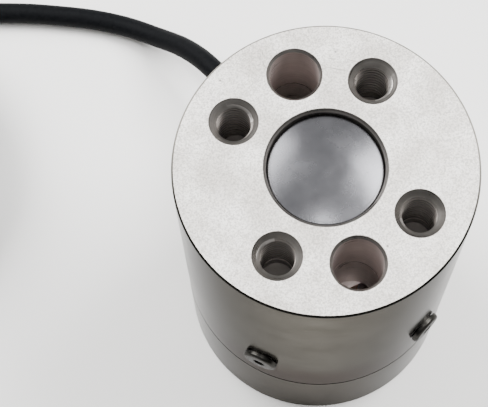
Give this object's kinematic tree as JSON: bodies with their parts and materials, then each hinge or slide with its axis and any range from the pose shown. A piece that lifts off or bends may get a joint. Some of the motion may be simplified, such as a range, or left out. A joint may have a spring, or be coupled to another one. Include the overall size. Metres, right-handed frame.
{
  "type": "reaction torque sensor",
  "caption": "Round steel reaction torque sensor with threaded and plain holes in its top flange, a domed plug in its bore and a black screened cable.",
  "frame": {"origin": "centre of the underside that the sensor is bolted down on", "axes": "+Z along the sensor's axis towards its load flange, +Y towards the plain hole on the cable's side"},
  "size_m": [0.1725, 0.1353, 0.0875],
  "materials": {
    "turned_stainless_steel": "turned and polished",
    "polished_steel_cap": "polished",
    "screw_steel": "smooth",
    "black_rubber": "matt",
    "gauge_foil": "satin",
    "board_green": "satin",
    "nickel_plated_brass": "nickel plated",
    "cable_jacket": "matt",
    "tie_nylon": "satin",
    "core_red": "satin",
    "core_black": "satin",
    "core_green": "satin",
    "core_white": "satin",
    "tinned_screen": "tinned wire"
  },
  "bodies": {
    "root": {"housing": "turned_stainless_steel", "torsion_body": "turned_stainless_steel", "centre_cap": "polished_steel_cap", "base_cap": "polished_steel_cap", "dust_seal": "black_rubber", "terminal_board": "board_green", "core_bundle": "core_white", "inner_cable": "cable_jacket", "gland_body": "nickel_plated_brass", "gland_nut": "nickel_plated_brass", "gland_washer": "black_rubber", "gland_bush": "black_rubber", "cable_run": "cable_jacket", "cable_coil": "cable_jacket", "cable_tail": "cable_jacket", "coil_tie_1": "tie_nylon", "coil_tie_2": "tie_nylon", "lead_red": "core_red", "lead_black": "core_black", "lead_green": "core_green", "lead_white": "core_white", "lead_screen": "tinned_screen", "housing_screw_1": "screw_steel", "side_screw_1": "screw_steel", "access_plug_1": "black_rubber", "strain_gauge_1": "gauge_foil", "gauge_leads_1": "tinned_screen", "housing_screw_2": "screw_steel", "side_screw_2": "screw_steel", "access_plug_2": "black_rubber", "strain_gauge_2": "gauge_foil", "gauge_leads_2": "tinned_screen", "housing_screw_3": "screw_steel", "side_screw_3": "screw_steel", "access_plug_3": "black_rubber", "strain_gauge_3": "gauge_foil", "gauge_leads_3": "tinned_screen", "housing_screw_4": "screw_steel", "side_screw_4": "screw_steel", "access_plug_4": "black_rubber", "strain_gauge_4": "gauge_foil", "gauge_leads_4": "tinned_screen", "board_screw_1": "screw_steel", "board_screw_2": "screw_steel"}
  },
  "joints": []
}
